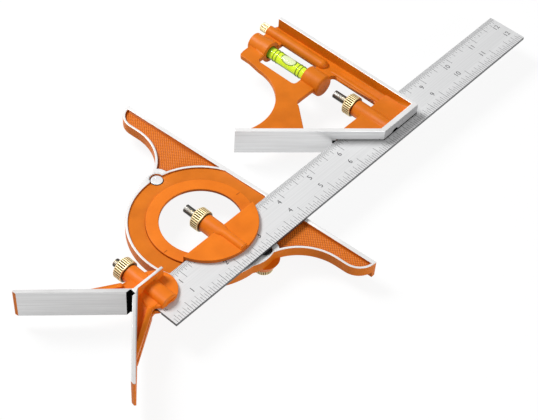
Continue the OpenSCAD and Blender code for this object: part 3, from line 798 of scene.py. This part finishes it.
def level_bubble(name):
    """The bubble against the tube's top: rings that grow from its middle to an oval rim on the spirit's surface and
    come back underneath, with the crest height falling to its outline, painted shade as a dark outline."""
    low, high = in_mm("level_tube")
    radius, middle, half_long, half_turn, tilt = (high[0] - low[0]) / 2 - 0.2, 14.4, 5.6, 0.9, 0.13
    grow = np.linspace(0.02, 1, 16)
    out = np.concatenate([grow, grow[::-1]])[:, None]
    lift = np.concatenate([0.12 * np.sqrt(1 - grow ** 2), np.full(len(grow), -0.3)])[:, None]
    angle = np.linspace(0, 2 * np.pi, 48, endpoint=False)[None]
    along = low[1] + TUBE_SEAT + middle + half_long * out * np.cos(angle)
    turned = np.pi / 2 + tilt + half_turn * out * np.sin(angle)
    points = lay_on_axis(along, radius + lift, turned, "y", (low + high) / 2)
    crest = np.broadcast_to(np.clip(9 * (0.93 - out), 0, 1), turned.shape)
    return put(name, *shell(points, flip=True), BUBBLE, "square", "vial_fluid", crest=crest)


# Marks

def slips(x0, x1, y0, y1, z0, z1):
    """Many thin flat slips at once: eight corners each from arrays of their edges, and their six faces."""
    lo, hi = np.stack([x0, y0, z0], -1), np.stack([x1, y1, z1], -1)
    pick = np.array([[i, j, k] for k in (0, 1) for j in (0, 1) for i in (0, 1)])
    corners = np.where(pick[None], hi[:, None], lo[:, None])
    sides = np.array([[0, 2, 3, 1], [4, 5, 7, 6], [0, 1, 5, 4], [2, 6, 7, 3], [0, 4, 6, 2], [1, 3, 7, 5]])
    faces = sides[None] + 8 * np.arange(len(lo))[:, None, None]
    return corners.reshape(-1, 3), faces.reshape(-1, 4).tolist()


def scale_slips(lengths, from_far_edge):
    """Graduations along one edge: lengths from the inch's mark down, each for half the step of the one before, and
    a mark takes the length of the coarsest step that it falls on."""
    parts = 2 ** (len(lengths) - 1)
    step = np.arange(1, 12 * parts)
    size = np.zeros(len(step))
    for k, length in enumerate(lengths[::-1]):
        size = np.where(step % 2 ** k == 0, length, size)
    x = step * INCH / parts
    half = np.where(size >= lengths[1], 0.24, 0.19) / 2
    y0, y1 = (RULE_W - size, np.full_like(size, RULE_W)) if from_far_edge else (np.zeros_like(size), size)
    thin = np.full_like(size, 0.012)
    return slips(x - half, x + half, y0, y1, -thin, thin)


def figure(text, height, x, y):
    """A number's outline as a thin closed mesh, in mm: made at the origin, then moved to its place on the rule.
    A figure of the outline font stands 0.7 of the font's size."""
    scale, deep = height / 0.7, 0.014
    curve = bpy.data.curves.new("figure", "FONT")
    curve.body, curve.size, curve.extrude = text, 1.0, deep / scale
    curve.align_x, curve.align_y = "RIGHT", "CENTER"
    curve.resolution_u = 4
    holder = in_scene(bpy.data.objects.new("figure", curve))
    mesh = made_mesh(holder)
    points = np.zeros(len(mesh.vertices) * 3)
    mesh.vertices.foreach_get("co", points)
    points = points.reshape(-1, 3) * scale + (x, y, 0)
    faces = [list(p.vertices) for p in mesh.polygons]
    bpy.data.objects.remove(holder)
    bpy.data.curves.remove(curve)
    bpy.data.meshes.remove(mesh)
    return points, faces


def rule_marks():
    """Both edges' graduations, a row of inch numbers beside each, and each scale's division by its zero end."""
    near = scale_slips([8.2, 6.8, 5.8, 5.0, 3.4], False)
    far = scale_slips([8.0, 6.6, 5.6, 4.6, 3.6, 2.6], True)
    put("rule_graduations", *joined([near, far]), MARK_BLACK, "rule", "rule_steel")
    figures = [figure(str(n), 3.2, INCH * n - 3.1, y) for n in range(1, 13) for y in (9.4, 17.4)]
    figures += [figure("16", 1.6, 3.6, 10.2), figure("32", 1.6, 3.6, 16.2)]
    put("rule_figures", *joined(figures), MARK_BLACK, "rule", "rule_steel")


def index_marks(name, reach, angles, half):
    """Thin raised lines in painted-shade enamel on the turret's ring: slips laid along X, each turned about the
    turret's axis.
    """
    edges = np.array([*reach, -half, half, RING_TOP - 0.1, RING_TOP + 0.06])
    corners, faces = slips(*np.repeat(edges[:, None], len(angles), 1))
    turn = np.repeat(np.radians(angles), 8)
    x, y, z = corners.T
    turned = np.stack([TURRET[0] + x * np.cos(turn) - y * np.sin(turn),
                       TURRET[1] + x * np.sin(turn) + y * np.cos(turn), z], -1)
    return put(name, turned, faces, ENAMEL_SHADE, "turret", "orange_paint")


def slot_mouth(name):
    """A near-black sheet of painted shade in the slot's mouth, close behind the square's end face: one slip over the
    rule.
    """
    low, high = in_mm("square_casting")
    edges = [high[0] - 29.95, high[0] - 3.05, low[1] + 0.1, low[1] + 1.58, 0.06, 1.1]
    return put(name, *slips(*np.array(edges)[:, None]), SLOT_SHADE, "square", "orange_paint")


# The object, piece by piece

casting("rule_body", "rule_blade", "rule", [RULE_SATIN, RULE_EDGE_SHADE], rule_finish, 0.12)
casting("square_body", "square_casting", "square",
        [ENAMEL_HEAD, BARE_RIM, MITRE_FACE, SLOT_SHADE, END_FACE_SHADE, ENAMEL_WALL_SHADE], square_finish,
        tools=[window_tool("window_tool"), foot_tool("foot_tool")])
casting("center_body", "center_casting", "center",
        [ENAMEL, CENTER_RIM_SHADE, BARE_FACE, SLOT_SHADE, BARE_RIM], center_finish)
casting("protractor_body", "protractor_frame", "frame",
        [ENAMEL_HEAD, BARE_RIM, BARE_FACE, ENAMEL_SHADE], protractor_finish)
casting("turret_body", "turret", "turret", [ENAMEL, ENAMEL_SHADE], turret_finish)
for side in SIDES:
    casting(f"lock_shoe_{side}_body", f"lock_shoe_{side}", "frame", [ENAMEL], one_finish)
# The lower lock bolt sits in the rule's shadow; its near-black finish is painted shade.
for side, finish in zip(SIDES, (PIN_STEEL, PIN_SHADE)):
    lock_bolt("lock_bolt_" + side, finish)
for head in HEADS:
    knurled_nut(head + "_nut", "y", 2.55, 0.6, 30)
    clamp_bolt(head + "_bolt", in_mm(head + "_nut")[0][1] + 1.0)
for side in SIDES:
    knurled_nut("lock_nut_" + side, "z", 2.45, 0.5, 34)
knurled_knob("scriber_knob", "scriber", 22)
level_socket("level_socket")
ridge("turret_ridge", "turret", ENAMEL, TURRET[0], turret_ridge_rows(), 0.3, bolt_room=BOLT_ROOM)
ridge("center_ridge", "center", ENAMEL, in_mm("center_bolt")[0][0] + 2.5, center_ridge_rows(), 0.3, 0.8,
      bolt_room=BOLT_ROOM)
ridge("strip_rib", "square", ENAMEL_HEAD, in_mm("square_casting")[1][0] - 8.35, strip_rib_rows(), 0.2, 0.85)
pocket_hatch("wing_floor_upper", 1)
pocket_hatch("wing_floor_lower", -1)
level_rings("level_rings")
level_spirit_core("level_spirit_core")
level_bubble("level_bubble")
rule_marks()
index_marks("turret_index", (27.2, 29.6), [-1.3, -177.5], 0.22)
slot_mouth("slot_mouth")

# Nodes that are shown as they are, with a finish of their own
for node, material in (("level_tube", TUBE_CLEAR), ("level_plug", PLUG_GREY), ("scriber_bush", BUSH_BRASS),
                       ("scriber_needle", BOLT_STEEL)):
    nodes[node].data.materials.clear()
    nodes[node].data.materials.append(material)


# Room, lamps and camera

def seen_white(tree):
    """1 for rays from the camera, off gloss or through clear material, and 0 for the rest of the light."""
    path = tree.nodes.new("ShaderNodeLightPath")
    value = path.outputs["Is Camera Ray"]
    for other in ("Is Glossy Ray", "Is Transmission Ray"):
        most = tree.nodes.new("ShaderNodeMath")
        most.operation = "MAXIMUM"
        tree.links.new(value, most.inputs[0])
        tree.links.new(path.outputs[other], most.inputs[1])
        value = most.outputs[0]
    return value


def floor_white():
    """Pale grey as light falls on it, four fifths white glow as it is seen."""
    mat, tree, bsdf = shader("floor_white", {"Base Color": (0.55, 0.55, 0.55, 1), "Roughness": 0.9})
    glow = tree.nodes.new("ShaderNodeEmission")
    glow.inputs["Strength"].default_value = 1.12
    blend = tree.nodes.new("ShaderNodeMixShader")
    share = tree.nodes.new("ShaderNodeMath")
    share.operation = "MULTIPLY"
    share.inputs[1].default_value = 0.8
    tree.links.new(seen_white(tree), share.inputs[0])
    tree.links.new(share.outputs[0], blend.inputs["Fac"])
    tree.links.new(bsdf.outputs[0], blend.inputs[1])
    tree.links.new(glow.outputs[0], blend.inputs[2])
    tree.links.new(blend.outputs[0], tree.nodes["Material Output"].inputs["Surface"])
    return mat


def pale_floor(half):
    """A wide floor under the part, half its width in metres: white to the camera, and it still takes the part's
    shadow."""
    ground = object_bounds()[0][2]
    corners = [(x * half, y * half, ground) for x, y in ((-1, -1), (1, -1), (1, 1), (-1, 1))]
    mesh = bpy.data.meshes.new("floor")
    mesh.from_pydata(corners, [], [(0, 1, 2, 3)])
    mesh.materials.append(floor_white())
    in_scene(bpy.data.objects.new("floor", mesh))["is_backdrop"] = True


def white_room(strength):
    """A white world: full white to the camera, in gloss and through clear material, softer as light."""
    room = bpy.data.worlds.new("white_room")
    room.use_nodes = True
    tree = room.node_tree
    back = tree.nodes["Background"]
    back.inputs["Color"].default_value = (1, 1, 1, 1)
    level = tree.nodes.new("ShaderNodeMapRange")
    level.inputs["To Min"].default_value = strength
    level.inputs["To Max"].default_value = 1.0
    tree.links.new(seen_white(tree), level.inputs["Value"])
    tree.links.new(level.outputs["Result"], back.inputs["Strength"])
    bpy.context.scene.world = room


def lamp(name, place, target, size, watts):
    """A square soft lamp at a place in mm from the rule's corner, facing a target."""
    light = bpy.data.lights.new(name, "AREA")
    light.size, light.energy = size, watts
    holder = in_scene(bpy.data.objects.new(name, light))
    start, aim = world([place, target])
    holder.location = start
    holder.rotation_euler = Vector(aim - start).to_track_quat("-Z", "Y").to_euler()


def camera(place, turn, lens):
    """The photograph's viewpoint: place in mm from the rule's corner, turn in degrees, lens in mm."""
    eye = bpy.data.cameras.new("camera")
    eye.lens, eye.sensor_width = lens, 36.0
    eye.clip_start, eye.clip_end = 0.01, 20
    holder = in_scene(bpy.data.objects.new("camera", eye))
    holder.location = world(place)
    holder.rotation_euler = [radians(a) for a in turn]
    bpy.context.scene.camera = holder


OBJECT_MIDDLE = (120, 40, 0)
pale_floor(4)
white_room(0.24)
lamp("key", (-60, 740, 820), OBJECT_MIDDLE, 0.4, 11.6)
lamp("fill", (60, -900, 300), OBJECT_MIDDLE, 0.6, 4.0)
camera((-293.344, -286.444, 562.847), (40.87562, -3.07666, -47.96480), 92.12)
bpy.context.scene.view_settings.view_transform = "Standard"
